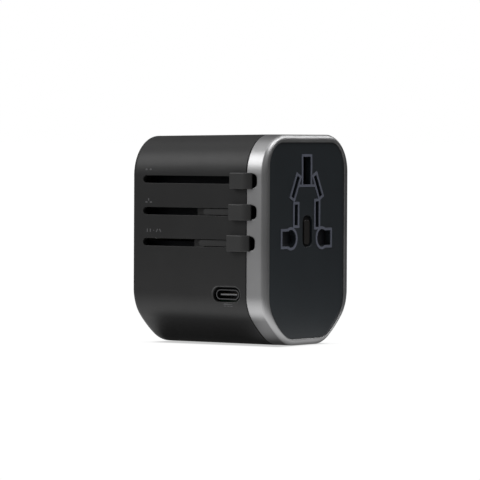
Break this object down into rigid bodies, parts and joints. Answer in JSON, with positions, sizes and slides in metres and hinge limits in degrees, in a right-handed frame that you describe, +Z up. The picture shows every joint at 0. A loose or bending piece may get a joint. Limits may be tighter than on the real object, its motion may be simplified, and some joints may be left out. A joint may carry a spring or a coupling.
{
  "type": "universal travel adapter",
  "caption": "Travel plug adapter: upright rounded block with a multi-standard socket face, sliding plugs that leave the back, side knobs, and charging ports.",
  "frame": {"origin": "middle of the flat underside, halfway between the front and back walls' outer planes", "axes": "+Z up, -Y out of the socket panel, +Y the way the plugs slide out, -X the side with the slider knobs"},
  "size_m": [0.0538, 0.053, 0.069],
  "materials": {
    "housing": "fine matte moulded black",
    "bezel": "satin gunmetal with a fine brushed grain",
    "panel": "satin blue-black",
    "outline": "satin grey-blue raised line",
    "shutter": "matte blue-black",
    "spring": "bright drawn wire",
    "insulator": "matte dark moulding",
    "brass": "stamped brass",
    "backplate": "matte moulded black",
    "screw": "zinc-plated steel",
    "carrier": "satin moulded black",
    "pin": "nickel-plated brass",
    "sleeve": "matte black insulating sleeve",
    "knob": "satin moulded dark grey",
    "fuseholder": "matte black",
    "fusecap": "matte dark grey",
    "fuseglass": "clear glass tube",
    "board": "green solder mask",
    "chip": "black moulded package",
    "coil": "yellow winding tape",
    "capacitor": "dark printed can",
    "usbshell": "formed stainless steel",
    "tongue": "blue contact block"
  },
  "bodies": {
    "case": {"housing_shell": "housing", "front_bezel": "bezel", "socket_panel": "panel", "socket_outline": "outline", "shutter_spring_right": "spring", "shutter_spring_left": "spring", "socket_core": "insulator", "live_contact": "brass", "neutral_contact": "brass", "earth_contact": "brass", "contact_base": "insulator", "live_bus": "brass", "neutral_bus": "brass", "earth_bus": "brass", "guide_frame": "insulator", "back_plate": "backplate", "back_plate_screws": "screw", "fuse_clip_front": "brass", "fuse_clip_rear": "brass", "charger_board": "board", "charger_chips": "chip", "charger_transformer": "coil", "charger_capacitor_1": "capacitor", "charger_capacitor_2": "capacitor", "usb_c_shell": "usbshell", "usb_c_tongue": "chip", "usb_a_shell_1": "usbshell", "usb_a_tongue_1": "tongue", "usb_a_shell_2": "usbshell", "usb_a_tongue_2": "tongue", "insulation_plate": "insulator"},
    "eu_plug": {"eu_carrier": "carrier", "eu_pin_right": "pin", "eu_pin_left": "pin", "eu_sleeve_right": "sleeve", "eu_sleeve_left": "sleeve", "eu_knob": "knob"},
    "uk_plug": {"uk_carrier": "carrier", "uk_earth_pin": "pin", "uk_live_pin": "pin", "uk_neutral_pin": "pin", "uk_live_sleeve": "sleeve", "uk_neutral_sleeve": "sleeve", "uk_knob": "knob"},
    "us_plug": {"us_carrier": "carrier", "us_knob": "knob"},
    "turret_right": {"us_turret_right": "carrier", "us_blade_right": "pin"},
    "turret_left": {"us_turret_left": "carrier", "us_blade_left": "pin"},
    "shutter": {"safety_shutter": "shutter"},
    "fuse_drawer": {"fuse_carrier": "fuseholder", "fuse_cap": "fusecap", "fuse_glass": "fuseglass", "fuse_end_caps": "screw"}
  },
  "joints": [
    {"name": "eu_slide", "type": "slide", "parent": "case", "child": "eu_plug", "axis": [0, 1, 0], "range_m": [0, 0.0327]},
    {"name": "uk_slide", "type": "slide", "parent": "case", "child": "uk_plug", "axis": [0, 1, 0], "range_m": [0, 0.023]},
    {"name": "us_slide", "type": "slide", "parent": "case", "child": "us_plug", "axis": [0, 1, 0], "range_m": [0, 0.0218]},
    {"name": "turret_right_turn", "type": "hinge", "parent": "us_plug", "child": "turret_right", "pos_m": [0.00635, 0, 0.026], "axis": [0, 1, 0], "range_deg": [-30, 0]},
    {"name": "turret_left_turn", "type": "hinge", "parent": "us_plug", "child": "turret_left", "pos_m": [-0.00635, 0, 0.026], "axis": [0, 1, 0], "range_deg": [0, 30]},
    {"name": "shutter_drop", "type": "slide", "parent": "case", "child": "shutter", "axis": [0, 0, -1], "range_m": [0, 0.009], "stiffness_N_per_m": 40, "springref_m": -0.004, "deforming": ["shutter_spring_right", "shutter_spring_left"]},
    {"name": "fuse_pull", "type": "slide", "parent": "case", "child": "fuse_drawer", "axis": [0, -1, 0], "range_m": [0, 0.03]}
  ]
}
